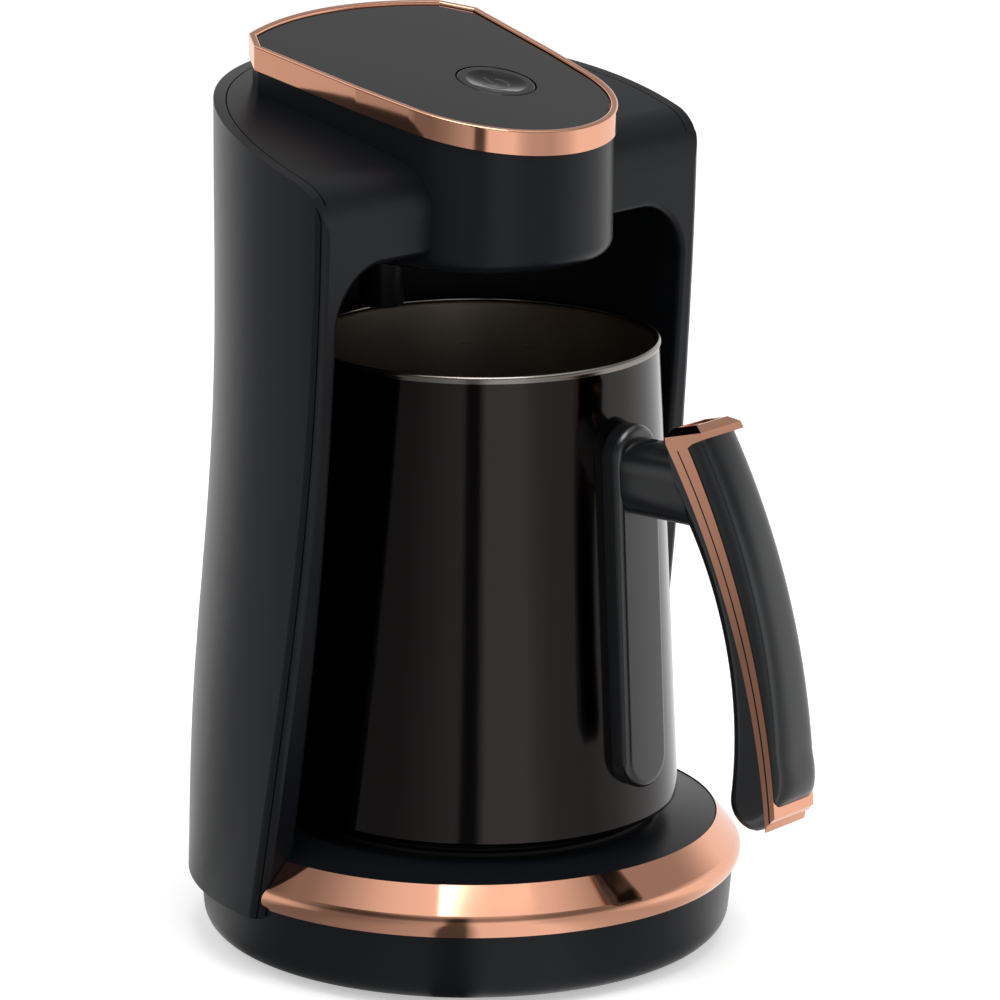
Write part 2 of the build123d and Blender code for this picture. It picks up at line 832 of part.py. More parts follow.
with BuildPart() as heat_shield:
    with BuildSketch(pot_floor.offset(shield_floor_z)):
        Circle(shield_radius)
    extrude(amount=seal_low_z - shield_floor_z)
    with BuildSketch(pot_floor.offset(shield_floor_top_z)):
        Circle(shield_radius - shield_wall)
    extrude(amount=seal_low_z - shield_floor_top_z, mode=Mode.SUBTRACT)
    with BuildSketch(pot_floor.offset(seal_low_z - shield_wall)):
        Circle(shield_flange_radius)
        Circle(shield_radius - shield_wall, mode=Mode.SUBTRACT)
    extrude(amount=shield_wall)
    with BuildSketch(pot_floor.offset(shield_floor_z)):
        with plate_bosses():
            Circle(screw_hole)
        with Locations(*element_legs):
            Circle(element_radius + seam)
    extrude(amount=shield_wall, mode=Mode.SUBTRACT)
finish(heat_shield, "heat_shield")

with BuildPart() as plate_screws:
    plate_screw = pan_screw(plate_screw_length).moved(Location((0, 0, shield_floor_z)))
    with Locations((0, pot_axis_y)):
        with plate_bosses():
            add(plate_screw)
finish(plate_screws, "plate_screws")

with BuildPart() as thermostat:
    with BuildSketch(pot_floor.offset(plate_low_z - thermostat_height)):
        Circle(thermostat_radius)
    extrude(amount=thermostat_height)
    with BuildSketch(pot_floor.offset(plate_low_z - thermostat_height + shield_wall)):
        Rectangle(thermostat_tab_width, thermostat_tab_length)
    extrude(amount=shield_wall)
finish(thermostat, "thermostat")

with BuildPart() as thermal_fuse:
    fuse_z = plate_low_z - fuse_radius - seal_fit
    fuse_plane = Plane.XZ.offset(-pot_axis_y)
    with BuildSketch(fuse_plane):
        with Locations((fuse_x, fuse_z)):
            Circle(fuse_radius)
    extrude(amount=fuse_length)
    with BuildSketch(fuse_plane.offset(-fuse_lead_length)):
        with Locations((fuse_x, fuse_z)):
            Circle(fuse_lead_radius)
    extrude(amount=fuse_length + 2 * fuse_lead_length)
finish(thermal_fuse, "thermal_fuse")

# ---------------------------------------------------------------- power board in the base
board_top_z = service_ring_z + board_thickness


def component(x, y, length, width):
    """A block that stands on the power board."""
    with BuildPart() as block:
        with BuildSketch(Plane.XY.offset(board_top_z)):
            with Locations((x, y)):
                Rectangle(length, width)
        extrude(amount=component_height)
        chamfer(block.edges().filter_by(Axis.Z), small_edge)
    return block


with BuildPart() as power_board:
    with BuildSketch(Plane.XY.offset(service_ring_z)):
        RectangleRounded(power_board_length, power_board_width, power_board_corner)
    extrude(amount=board_thickness)
finish(power_board, "power_board")
finish(component(*transformer_block), "transformer")
finish(component(*relay_block), "relay")
finish(component(*terminal_block), "terminal_block")

with BuildPart() as capacitor:
    capacitor_radius = component_height / 2
    with BuildSketch(Plane.YZ.offset(capacitor_x)):
        with Locations((capacitor_y, board_top_z + capacitor_radius + screw_fit)):
            Circle(capacitor_radius)
    extrude(amount=capacitor_length)
    chamfer(capacitor.edges().filter_by(GeomType.CIRCLE), small_edge)
finish(capacitor, "capacitor")

with BuildPart() as wiring_harness:
    harness_low_z = board_top_z + harness_radius + 2 * screw_fit
    with BuildLine() as route:
        FilletPolyline(
            (harness_x, harness_start_y, harness_low_z),
            (harness_x, harness_y, harness_low_z),
            (harness_x, harness_y, bay_ceiling_z + harness_bend_rise),
            (harness_x, harness_end_y, harness_end_z),
            radius=harness_bend,
        )
    with BuildSketch(Plane(origin=route.line @ 0, z_dir=route.line % 0)):
        Circle(harness_radius)
    sweep()
finish(wiring_harness, "wiring_harness")

# ---------------------------------------------------------------- head
ledge_top = panel_recess + panel_thickness
with BuildPart() as head_trim:
    add(head_prism(0, head_bottom_z, 0))
    add(head_prism(head_trim_width, head_bottom_z - 1, -5), mode=Mode.SUBTRACT)
    fillet(head_trim.faces().sort_by(Axis.Z)[-1].edges(), small_edge)
    add(head_prism(head_trim_overhang, head_bottom_z - 1, ledge_top))
    add(head_prism(head_trim_width + head_ledge_width, head_bottom_z - 2, -5), mode=Mode.SUBTRACT)
    split(bisect_by=head_top.offset(-head_trim_height), keep=Keep.TOP)
finish(head_trim, "head_trim")

# everything from here to the board's screws is placed on planes along the sloping panel
panel_top = head_top.offset(-panel_recess)
panel_under = head_top.offset(-ledge_top)
button_low = button_play + button_flange + button_stem_length
switch_top = ledge_top + button_low + button_travel + switch_gap
board_top = switch_top + plunger_height + switch_height
board_under = board_top + board_thickness
posts = [(side * post_half_width, y) for side in (-1, 1) for y in (post_front_y, post_back_y)]

with BuildPart() as top_panel:
    add(head_prism(head_trim_width + seam, head_bottom_z, panel_recess))
    split(bisect_by=panel_under, keep=Keep.TOP)
    with BuildSketch(panel_top):
        with Locations((button_x, button_y)):
            Circle(button_radius + button_gap)
    extrude(amount=-panel_thickness, mode=Mode.SUBTRACT)
    # posts for the control board
    with BuildSketch(panel_under):
        with Locations(*posts):
            Circle(post_radius)
    extrude(amount=ledge_top - board_top)
    with BuildSketch(head_top.offset(-board_top)):
        with Locations(*posts):
            Circle(screw_hole)
    extrude(amount=board_screw_length, mode=Mode.SUBTRACT)
finish(top_panel, "top_panel")

with BuildPart() as power_button:
    with BuildSketch(panel_top):
        with Locations((button_x, button_y)):
            Circle(button_radius)
    extrude(amount=-button_height)
    fillet(power_button.edges().sort_by(Axis.Z)[-1], small_edge)
    with BuildSketch(panel_under.offset(-button_play)):
        with Locations((button_x, button_y)):
            Circle(button_radius + button_flange_width)
    extrude(amount=-button_flange)
    with BuildSketch(panel_under.offset(-button_play)):
        with Locations((button_x, button_y)):
            Circle(button_stem_radius)
    extrude(amount=button_play - button_low)
    dish_sphere = (button_dish_radius**2 + button_dish**2) / (2 * button_dish)
    with Locations(panel_top.offset(dish_sphere - button_dish).location * Pos(button_x, button_y, 0)):
        Sphere(dish_sphere, mode=Mode.SUBTRACT)
finish(power_button, "power_button")

with BuildPart() as button_switch:
    with BuildSketch(head_top.offset(-board_top)):
        with Locations((button_x, button_y)):
            Rectangle(switch_size, switch_size)
    extrude(amount=switch_height)
    with BuildSketch(head_top.offset(-board_top)):
        with Locations((button_x, button_y)):
            Circle(plunger_radius)
    extrude(amount=switch_height + plunger_height)
finish(button_switch, "button_switch")

with BuildPart() as button_led:
    with BuildSketch(head_top.offset(-board_top)):
        with Locations((button_x + led_offset, button_y)):
            Circle(led_radius)
    extrude(amount=switch_height)
    fillet(button_led.edges().sort_by(Axis.Z)[-1], led_radius / 2)
finish(button_led, "button_led")

with BuildPart() as control_board:
    add(head_prism(board_margin, head_bottom_z, board_top))
    split(bisect_by=head_top.offset(-board_under), keep=Keep.TOP)
    with BuildSketch(head_top.offset(-board_under)):
        with Locations(*posts):
            Circle(screw_hole)
    extrude(amount=board_thickness, mode=Mode.SUBTRACT)
finish(control_board, "control_board")

with BuildPart() as buzzer:
    with BuildSketch(head_top.offset(-board_under)):
        with Locations((buzzer_x, (post_front_y + post_back_y) / 2)):
            Circle(buzzer_radius)
            Circle(buzzer_radius / 6, mode=Mode.SUBTRACT)
    extrude(amount=-buzzer_height)
finish(buzzer, "buzzer")

with BuildPart() as board_screws:
    board_screw = pan_screw(board_screw_length)
    with Locations(head_top.offset(-board_under)):
        with Locations(*posts):
            add(board_screw)
finish(board_screws, "board_screws")

# ---------------------------------------------------------------- froth sensor
sensor_axis = Plane(origin=(0, sensor_y, 0))
sensor_seat_z = head_bottom_z + housing_wall
sensor_floor_z = sensor_tip_z + sensor_wall
with BuildPart() as sensor_housing:
    with BuildSketch(sensor_axis.offset(sensor_tip_z)):
        Circle(sensor_radius)
    extrude(amount=sensor_seat_z + sensor_flange - sensor_tip_z)
    chamfer(sensor_housing.edges().sort_by(Axis.Z)[0], small_edge)
    with BuildSketch(sensor_axis.offset(sensor_seat_z)):
        Circle(sensor_radius + sensor_flange_width)
    extrude(amount=sensor_flange)
    with BuildSketch(sensor_axis.offset(sensor_floor_z)):
        Circle(sensor_radius - sensor_wall)
    extrude(amount=sensor_seat_z, mode=Mode.SUBTRACT)
    with BuildSketch(sensor_axis.offset(sensor_tip_z)):
        Circle(sensor_window_radius)
    extrude(amount=sensor_wall, mode=Mode.SUBTRACT)
finish(sensor_housing, "sensor_housing")

with BuildPart() as sensor_window:
    with BuildSketch(sensor_axis.offset(sensor_floor_z)):
        Circle(sensor_radius - sensor_wall - screw_fit)
    extrude(amount=sensor_window_thickness)
    with BuildSketch(sensor_axis.offset(sensor_tip_z + seam)):
        Circle(sensor_window_radius - screw_fit)
    extrude(amount=sensor_wall)
finish(sensor_window, "sensor_window")

with BuildPart() as sensor_board:
    with BuildSketch(sensor_axis.offset(sensor_seat_z + sensor_flange)):
        Rectangle(sensor_board_size, sensor_board_size)
    extrude(amount=board_thickness)
finish(sensor_board, "sensor_board")

# ---------------------------------------------------------------- pot
with BuildPart() as pot_body:
    with BuildSketch(pot_section) as pot_profile:
        with BuildLine():
            recess_z = plate_top_z + pot_base_thickness
            inner_floor_z = recess_z + pot_wall
            recess_radius = pot_base_radius + seam / 3
            taper = (pot_foot_radius - pot_rim_radius) / (pot_rim_z - pot_foot_z)
            inner_foot_radius = pot_foot_radius - taper * (inner_floor_z - pot_foot_z) - pot_wall
            Polyline(
                (0, recess_z),
                (recess_radius, recess_z),
                (recess_radius, pot_foot_z),
                (pot_foot_radius, pot_foot_z),
                (pot_rim_radius, pot_rim_z),
                (pot_rim_radius - pot_wall, pot_rim_z),
                (inner_foot_radius, inner_floor_z),
                (0, inner_floor_z),
                close=True,
            )
        make_face()
        fillet(pot_profile.vertices().sort_by(Axis.X)[-1], pot_foot_rounding)
    revolve(axis=pot_axis)
    with BuildSketch(pot_section):
        with Locations((pot_rim_radius - pot_wall / 2, pot_rim_z - pot_bead_radius)):
            Circle(pot_bead_radius)
    revolve(axis=pot_axis)
finish(pot_body, "pot_body", pot_turn)

with BuildPart() as pot_base:
    with BuildSketch(pot_floor.offset(plate_top_z)):
        Circle(pot_base_radius)
    extrude(amount=pot_base_thickness)
    chamfer(pot_base.edges().sort_by(Axis.Z)[0], pot_wall)
finish(pot_base, "pot_base", pot_turn)

# ---------------------------------------------------------------- handle
handle_screw_seat = handle_screw_tip + handle_screw_length
screw_low_z = (neck_low_z + neck_high_z - handle_screw_pitch) / 2
handle_screw_heights = (screw_low_z, screw_low_z + handle_screw_pitch)


def handle_plane(outward):
    """A plane across the handle, at a distance from the pot's axis, that faces the pot."""
    return Plane(origin=(0, pot_axis_y - outward, 0), x_dir=(1, 0, 0), z_dir=(0, 1, 0))


with BuildPart() as handle_bracket:
    add(pad_form(bracket_width, bracket_margin, handle_fit + bracket_thickness))
    with BuildSketch(handle_plane(pot_foot_radius + pad_proud)):
        with Locations(*[(0, -height) for height in handle_screw_heights]):
            Circle(screw_hole)
    extrude(amount=pad_proud * 2, mode=Mode.SUBTRACT)
finish(handle_bracket, "handle_bracket", pot_turn)

with BuildPart() as handle_pad:
    add(pad_form(pad_width, 0, pad_proud))
    fillet(handle_pad.faces().sort_by(Axis.Y)[0].edges(), pad_rounding)
    add(pad_form(bracket_width + seam, bracket_margin - seam / 2, bracket_thickness + 2 * handle_fit),
        mode=Mode.SUBTRACT)
    with BuildSketch(handle_plane(pot_foot_radius + pad_proud)):
        with Locations(*[(0, -height) for height in handle_screw_heights]):
            Circle(screw_hole)
    extrude(amount=pad_proud * 2, mode=Mode.SUBTRACT)
finish(handle_pad, "handle_pad", pot_turn)

with BuildPart() as handle_inner:
    add(grip_form(grip_half_width))
    add(behind_arc(band_inner_edge, -handle_fit, False), mode=Mode.INTERSECT)
    side_edges = handle_inner.faces().filter_by(Axis.X).edges()
    back_edges = side_edges.filter_by(lambda edge: edge.center().Z < neck_low_z)
    fillet(back_edges.sort_by(SortBy.LENGTH)[:-2], grip_rounding)
    with BuildSketch(handle_plane(neck_outward)):
        with Locations((0, -(neck_low_z + neck_high_z) / 2)):
            RectangleRounded(neck_width, neck_high_z - neck_low_z, neck_rounding)
    extrude(amount=neck_outward - pot_rim_radius)
    add(cap_form(handle_fit), mode=Mode.SUBTRACT)
    add(pot_form(pad_proud + handle_fit), mode=Mode.SUBTRACT)
    add(behind_arc(band_inner_edge, -handle_fit, False), mode=Mode.INTERSECT)
    with BuildSketch(handle_plane(grip_outer_low[0])):
        with Locations(*[(0, -height) for height in handle_screw_heights]):
            Circle(screw_head_radius + 2 * screw_fit)
    extrude(amount=grip_outer_low[0] - handle_screw_seat, mode=Mode.SUBTRACT)
    with BuildSketch(handle_plane(grip_outer_low[0])):
        with Locations(*[(0, -height) for height in handle_screw_heights]):
            Circle(screw_hole)
    extrude(amount=grip_outer_low[0], mode=Mode.SUBTRACT)
finish(handle_inner, "handle_inner", pot_turn)

with BuildPart() as handle_outer:
    add(grip_form(grip_half_width))
    side_faces = handle_outer.faces().filter_by(Axis.X)
    for side_face in side_faces:
        fillet(side_face.edges().sort_by(Axis.Y)[:2], grip_rounding)
    add(behind_arc(band_outer_edge, handle_fit, True), mode=Mode.INTERSECT)
    add(cap_form(handle_fit), mode=Mode.SUBTRACT)
finish(handle_outer, "handle_outer", pot_turn)

trim_half_width = grip_half_width + grip_trim_proud
band_middle = [((a[0] + b[0]) / 2, (a[1] + b[1]) / 2) for a, b in zip(band_inner_edge, band_outer_edge)]
with BuildPart() as side_grooves:
    add(behind_arc(band_middle, -grip_trim_groove / 2, True))
    add(behind_arc(band_middle, grip_trim_groove / 2, False), mode=Mode.INTERSECT)
    with BuildSketch(handle_side):
        with Locations((grip_outer_low[0], pad_low_z)):
            Rectangle(4 * pad_high_z, 4 * pad_high_z)
    extrude(amount=trim_half_width - grip_trim_groove, both=True, mode=Mode.SUBTRACT)

cap_top = Plane(
    origin=(0, pot_axis_y - grip_top_inner[0], grip_top_inner[1]),
    x_dir=(1, 0, 0),
    z_dir=(0, grip_top_outer[1] - grip_top_inner[1], grip_top_outer[0] - grip_top_inner[0]),
)
cap_middle = (Vector(*grip_top_outer) - Vector(*grip_top_inner)).length / 2
with BuildPart() as grip_cap:
    add(grip_form(trim_half_width))
    add(cap_form(0), mode=Mode.INTERSECT)
    chamfer(grip_cap.faces().sort_by(Axis.Z)[-1].edges(), cap_chamfer)

with BuildPart() as handle_trim:
    add(grip_form(trim_half_width))
    add(behind_arc(band_inner_edge, 0, True), mode=Mode.INTERSECT)
    add(behind_arc(band_outer_edge, 0, False), mode=Mode.INTERSECT)
    add(side_grooves.part, mode=Mode.SUBTRACT)
    add(grip_cap.part)
    with BuildSketch(cap_top):
        with Locations((0, -cap_middle)):
            RectangleRounded(plug_width, plug_length, plug_corner)
    extrude(amount=-plug_depth - plug_sunk, mode=Mode.SUBTRACT)
finish(handle_trim, "handle_trim", pot_turn)

with BuildPart() as handle_plug:
    with BuildSketch(cap_top.offset(-plug_sunk - plug_depth)):
        with Locations((0, -cap_middle)):
            RectangleRounded(
                plug_width - 2 * handle_fit, plug_length - 2 * handle_fit, plug_corner - handle_fit
            )
    extrude(amount=plug_depth)
finish(handle_plug, "handle_plug", pot_turn)

with BuildPart() as handle_screws:
    handle_screw = pan_screw(handle_screw_length)
    with Locations(handle_plane(handle_screw_seat)):
        with Locations(*[(0, -height) for height in handle_screw_heights]):
            add(handle_screw)
finish(handle_screws, "handle_screws", pot_turn)
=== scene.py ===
# %% [markdown]
# # An electric maker for Turkish coffee
#
# The machine is a black plastic casing with rose copper trim, and a dark steel pot that stands on a
# hot plate. The construction comes in as a fixed frame. This notebook gives it its surfaces: the
# finish of each moulding, the drawn steel of the pot, the plated bands and the studio round them.

# %% Load the frame
import json
import math

import bmesh
import bpy
from mathutils import Matrix, Vector


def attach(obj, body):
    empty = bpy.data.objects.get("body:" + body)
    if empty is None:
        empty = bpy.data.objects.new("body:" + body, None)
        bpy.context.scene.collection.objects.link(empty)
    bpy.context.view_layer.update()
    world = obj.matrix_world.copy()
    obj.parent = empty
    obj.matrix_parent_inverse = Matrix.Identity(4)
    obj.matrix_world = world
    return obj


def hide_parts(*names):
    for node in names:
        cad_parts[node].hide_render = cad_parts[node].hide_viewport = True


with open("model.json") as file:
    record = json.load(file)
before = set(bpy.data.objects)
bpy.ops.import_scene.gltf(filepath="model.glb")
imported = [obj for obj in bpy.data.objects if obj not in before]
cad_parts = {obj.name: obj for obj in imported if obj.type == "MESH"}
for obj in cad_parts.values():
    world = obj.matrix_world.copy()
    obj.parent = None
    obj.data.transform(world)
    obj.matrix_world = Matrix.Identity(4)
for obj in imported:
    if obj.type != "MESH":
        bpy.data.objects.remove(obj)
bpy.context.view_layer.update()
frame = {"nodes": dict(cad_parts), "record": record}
nodes = frame["nodes"]
print("nodes in the frame:", len(nodes))

# %% [markdown]
# ## The camera
#
# A tall appliance looks upright and calm through a long lens from a few paces away. A camera's matrix
# is built from three directions: to its right, up, and backwards.

# %% Camera
camera_place = Vector((-1.0390, -1.0143, 0.4958))
camera_aim = Vector((0.6954, 0.6715, -0.2559)).normalized()
camera_roll = math.radians(0.39)
lens_mm = 216
sensor_mm = 36


def make_camera():
    """Add the camera and make it the scene's own."""
    level_right = camera_aim.cross(Vector((0, 0, 1))).normalized()
    level_up = level_right.cross(camera_aim)
    right = level_right * math.cos(camera_roll) + level_up * math.sin(camera_roll)
    up = right.cross(camera_aim)
    lens = bpy.data.cameras.new("camera")
    lens.lens = lens_mm
    lens.sensor_width = sensor_mm
    lens.clip_end = 20
    camera = bpy.data.objects.new("camera", lens)
    axes = Matrix((right, up, -camera_aim)).transposed()
    camera.matrix_world = Matrix.Translation(camera_place) @ axes.to_4x4()
    bpy.context.collection.objects.link(camera)
    bpy.context.scene.camera = camera


make_camera()
bpy.context.scene.view_settings.view_transform = "Standard"
print("camera:", lens_mm, "mm lens,", round(camera_place.length, 2), "m from the machine's foot")

# %% [markdown]
# ## Building materials from nodes
#
# Two small helpers are enough. One turns an sRGB hex colour to the linear numbers that a renderer
# works in. The other adds a node, sets it and wires it in one call, so that a material reads from
# top to bottom like a recipe.


# %% Material helpers
def linear(hex_colour):
    """The linear colour, with full opacity, of an sRGB hex value such as '#8a4b2f'."""
    channels = [int(hex_colour[i : i + 2], 16) / 255 for i in (1, 3, 5)]
    return [c / 12.92 if c <= 0.04045 else ((c + 0.055) / 1.055) ** 2.4 for c in channels] + [1]


def add_node(tree, kind, settings=None, links=None):
    """Add a node, set its inputs or properties by name, and link its inputs to other outputs."""
    node = tree.nodes.new(kind)
    for name, value in (settings or {}).items():
        if name in node.inputs:
            node.inputs[name].default_value = value
        else:
            setattr(node, name, value)
    for name, output in (links or {}).items():
        tree.links.new(output, node.inputs[name])
    return node


def new_material(name):
    """An empty material: returns it and its node tree."""
    material = bpy.data.materials.new(name)
    material.use_nodes = True
    material.node_tree.nodes.clear()
    return material, material.node_tree


def close_material(tree, shader):
    """Wire a shader to the material's output."""
    add_node(tree, "ShaderNodeOutputMaterial", links={"Surface": shader.outputs[0]})


# %% [markdown]
# ## Satin ABS
#
# The casing is injection moulded ABS, black right through, from a tool with a fine spark-eroded
# grain. The grain scatters a highlight into a soft glow. Its real pitch is about 0.1 mm, too fine to
# show, so it is drawn at 0.4 mm. Hands and cloths polish it unevenly, which the cloud stands for.

# %% Moulded ABS
def moulded_abs(name, colour, roughness, grain_mm=0.4, grain_depth=0.05, specular=0.2):
    """Black plastic with a fine moulded grain."""
    material, tree = new_material(name)
    place = add_node(tree, "ShaderNodeTexCoord")
    grain = add_node(tree, "ShaderNodeTexNoise", {"Scale": 1000 / grain_mm, "Detail": 2},
                     {"Vector": place.outputs["Object"]})
    cloud = add_node(tree, "ShaderNodeTexNoise", {"Scale": 30, "Detail": 3},
                     {"Vector": place.outputs["Object"]})
    spread = add_node(tree, "ShaderNodeMapRange", {"To Min": roughness * 0.9, "To Max": roughness * 1.1},
                      {"Value": cloud.outputs["Fac"]})
    bump = add_node(tree, "ShaderNodeBump", {"Strength": grain_depth, "Distance": 0.0001},
                    {"Height": grain.outputs["Fac"]})
    shader = add_node(tree, "ShaderNodeBsdfPrincipled",
                      {"Base Color": linear(colour), "Specular IOR Level": specular},
                      {"Roughness": spread.outputs["Result"], "Normal": bump.outputs["Normal"]})
    close_material(tree, shader)
    return material


satin_abs = moulded_abs("satin_abs", "#121418", 0.30)
handle_abs = moulded_abs("handle_abs", "#111316", 0.22, specular=0.8)
gloss_abs = moulded_abs("gloss_abs", "#08090b", 0.06, grain_depth=0.0, specular=0.35)
printed_ink = moulded_abs("printed_ink", "#3a3d42", 0.35, grain_depth=0.0)
print("moulded:", satin_abs.name, handle_abs.name, gloss_abs.name, printed_ink.name)

# %% [markdown]
# ## Rose copper plating
#
# The bands are ABS too, plated with nickel and then a thin rose copper. Plating is a real metal
# skin: it has no diffuse colour of its own, and all that the eye sees is a tinted reflection.

# %% Plated trim
def plated(name, colour, roughness):
    """Plated plastic: a metal skin with a faint ripple from the moulding under it."""
    material, tree = new_material(name)
    place = add_node(tree, "ShaderNodeTexCoord")
    ripple = add_node(tree, "ShaderNodeTexNoise", {"Scale": 90, "Detail": 1},
                      {"Vector": place.outputs["Object"]})
    spread = add_node(tree, "ShaderNodeMapRange", {"To Min": roughness * 0.7, "To Max": roughness * 1.3},
                      {"Value": ripple.outputs["Fac"]})
    bump = add_node(tree, "ShaderNodeBump", {"Strength": 0.03, "Distance": 0.0004},
                    {"Height": ripple.outputs["Fac"]})
    shader = add_node(tree, "ShaderNodeBsdfPrincipled",
                      {"Base Color": linear(colour), "Metallic": 1},
                      {"Roughness": spread.outputs["Result"], "Normal": bump.outputs["Normal"]})
    close_material(tree, shader)
    return material


rose_copper = plated("rose_copper", "#f2b193", 0.08)
print("plated:", rose_copper.name)

# %% [markdown]
# ## Steel
#
# The pot is drawn from a stainless steel disc. Outside, a dark brown tint covers an upright brushed
# grain. Inside it is bare, and the brush went round and round.

# %% Brushed steel
def brushed_steel(name, colour, roughness, stretch, depth=0.08):
    """Steel with brush lines. The stretch says how fine the noise is along x, y and z."""
    material, tree = new_material(name)
    place = add_node(tree, "ShaderNodeTexCoord")
    drawn = add_node(tree, "ShaderNodeMapping", {"Scale": stretch}, {"Vector": place.outputs["Object"]})
    lines = add_node(tree, "ShaderNodeTexNoise", {"Scale": 1, "Detail": 4},
                     {"Vector": drawn.outputs["Vector"]})
    spread = add_node(tree, "ShaderNodeMapRange", {"To Min": roughness * 0.7, "To Max": roughness * 1.3},
                      {"Value": lines.outputs["Fac"]})
    bump = add_node(tree, "ShaderNodeBump", {"Strength": depth, "Distance": 0.0001},
                    {"Height": lines.outputs["Fac"]})
    shader = add_node(tree, "ShaderNodeBsdfPrincipled",
                      {"Base Color": linear(colour), "Metallic": 1},
                      {"Roughness": spread.outputs["Result"], "Normal": bump.outputs["Normal"]})
    close_material(tree, shader)
    return material


tinted_steel = brushed_steel("tinted_steel", "#353231", 0.10, (900, 900, 12), 0.04)
bare_steel = brushed_steel("bare_steel", "#a0958a", 0.32, (120, 120, 4000), 0.2)
bright_steel = brushed_steel("bright_steel", "#8d8780", 0.2, (200, 200, 2200))
zinc_steel = brushed_steel("zinc_steel", "#9a9c9e", 0.35, (900, 900, 900))
print("steel:", tinted_steel.name, bare_steel.name, bright_steel.name, zinc_steel.name)

# %% [markdown]
# ## The smaller materials
#
# A coated plate, silicone rubber, the boards and their parts. Most are hidden, but the pot lifts off
# and the base has slots, so they are finished too.

# %% Smaller materials
coated_aluminium = moulded_abs("coated_aluminium", "#1b1b1d", 0.5, grain_depth=0.3)
silicone = moulded_abs("silicone", "#0e0e0f", 0.6, specular=0.3)
laminate = moulded_abs("laminate", "#12502a", 0.4)
component_abs = moulded_abs("component_abs", "#1c1c1c", 0.5)
clear_lens = moulded_abs("clear_lens", "#1c2024", 0.08, grain_depth=0.0, specular=0.5)

slot_materials = {
    "black_plastic": satin_abs,
    "copper_trim": rose_copper,
    "panel_plastic": gloss_abs,
    "button_plastic": gloss_abs,
    "plate_coating": coated_aluminium,
    "pot_steel": tinted_steel,
    "plain_steel": zinc_steel,
    "screw_steel": zinc_steel,
    "black_rubber": silicone,
    "board_laminate": laminate,
    "component_plastic": component_abs,
    "wire_sleeve": silicone,
    "clear_lens": clear_lens,
}
for part in frame["record"]["subparts"]:
    piece = nodes[part["node"]]
    piece.data.materials.clear()
    piece.data.materials.append(slot_materials[part["material_slot"]])
for name in ("handle_inner", "handle_outer", "handle_pad"):
    nodes[name].data.materials[0] = handle_abs

# %% [markdown]
# ## The pot
#
# A pot is turned about its axis, so a list of radii and heights makes all of it. A modifier could turn
# the list too, but a mesh built ring by ring lets each band between two points have its own finish.

# %% Turning a mesh
sharp_angle = math.radians(50)


def turned_mesh(name, outline, centre, sections):
    """A mesh turned about an upright axis. Each outline row is radius, height and band, in mm."""
    mesh = bpy.data.meshes.new(name)
    build = bmesh.new()
    rings = []
    for radius, height, _ in outline:
        ring = []
        for i in range(sections if radius else 1):
            angle = 2 * math.pi * i / sections
            ring.append(build.verts.new((
                (centre[0] + radius * math.cos(angle)) / 1000,
                (centre[1] + radius * math.sin(angle)) / 1000,
                height / 1000,
            )))
        rings.append(ring)
    for row, (lower, upper) in enumerate(zip(rings, rings[1:])):
        for i in range(sections):
            j = (i + 1) % sections
            corners = [lower[i % len(lower)], lower[j % len(lower)],
                       upper[j % len(upper)], upper[i % len(upper)]]
            face = build.faces.new(list(dict.fromkeys(corners)))
            face.material_index = outline[row + 1][2]
            face.smooth = True
    bmesh.ops.recalc_face_normals(build, faces=build.faces)
    build.to_mesh(mesh)
    build.free()
    mesh.set_sharp_from_angle(angle=sharp_angle)
    return mesh


def add_piece(name, mesh, body, materials):
    """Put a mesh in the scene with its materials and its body."""
    piece = bpy.data.objects.new(name, mesh)
    bpy.context.collection.objects.link(piece)
    for material in materials:
        mesh.materials.append(material)
    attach(piece, body)
    return piece


# %% [markdown]
# The outline starts under the foot, climbs the tinted outside, rolls over the bright rim and comes
# down the bare inside. Small arcs round off the foot and the rim, as a press leaves drawn sheet.

# %% The pot's shell
tinted, bright, bare = 0, 1, 2
pot_axis_y = -4
pot_sections = 160


def bend(middle, radius, start, end, band, steps=6):
    """Rows of an outline round a small arc, from one angle in degrees to another."""
    rows = []
    for i in range(steps + 1):
        angle = math.radians(start + (end - start) * i / steps)
        rows.append((middle[0] + radius * math.cos(angle), middle[1] + radius * math.sin(angle), band))
    return rows


pot_outline = [(0, 38.1, tinted), (46.1, 38.1, tinted), (46.1, 36.5, tinted), (48.6, 36.5, tinted)]
pot_outline += bend((48.5, 38.5), 1.9, -80, 3, tinted)
pot_outline += [(44.5, 152.7, tinted)]
pot_outline += bend((43.85, 153.6), 0.9, -30, 210, bright, 10)
pot_outline += [(43.0, 152.6, bare), (48.4, 43.0, bare)]
pot_outline += bend((45.4, 42.6), 3.0, 0, -90, bare)[1:]
pot_outline += [(30, 39.3, bare), (0, 39.2, bare)]
pot_mesh = turned_mesh("pot_shell", pot_outline, (0, pot_axis_y), pot_sections)
pot_shell = add_piece("pot_shell", pot_mesh, "pot", [tinted_steel, bright_steel, bare_steel])
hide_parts("pot_body")
print("pot rows:", len(pot_outline))

# %% [markdown]
# ## The grip
#
# The grip's outer half is a black shell with full, rounded flanks. A box with a bevel would keep flat
# sides, so the shell is swept instead, along the stretch between two arcs of the side view: the band's
# edge and the grip's back. Its head runs in under the cap, and its foot is rounded off. Each arc is
# three points, outwards from the pot's axis and up from the table, in millimetres.

# %% Arcs of the side view
grip_back = [(73.9, 144.8), (93.0, 104.5), (100.6, 65.0)]
grip_foot = [(100.6, 65.0), (98.7, 51.0), (91.0, 45.4)]
band_edge = [(68.57, 142.72), (90.05, 95.0), (99.25, 47.5)]
pot_turn = math.radians(5)


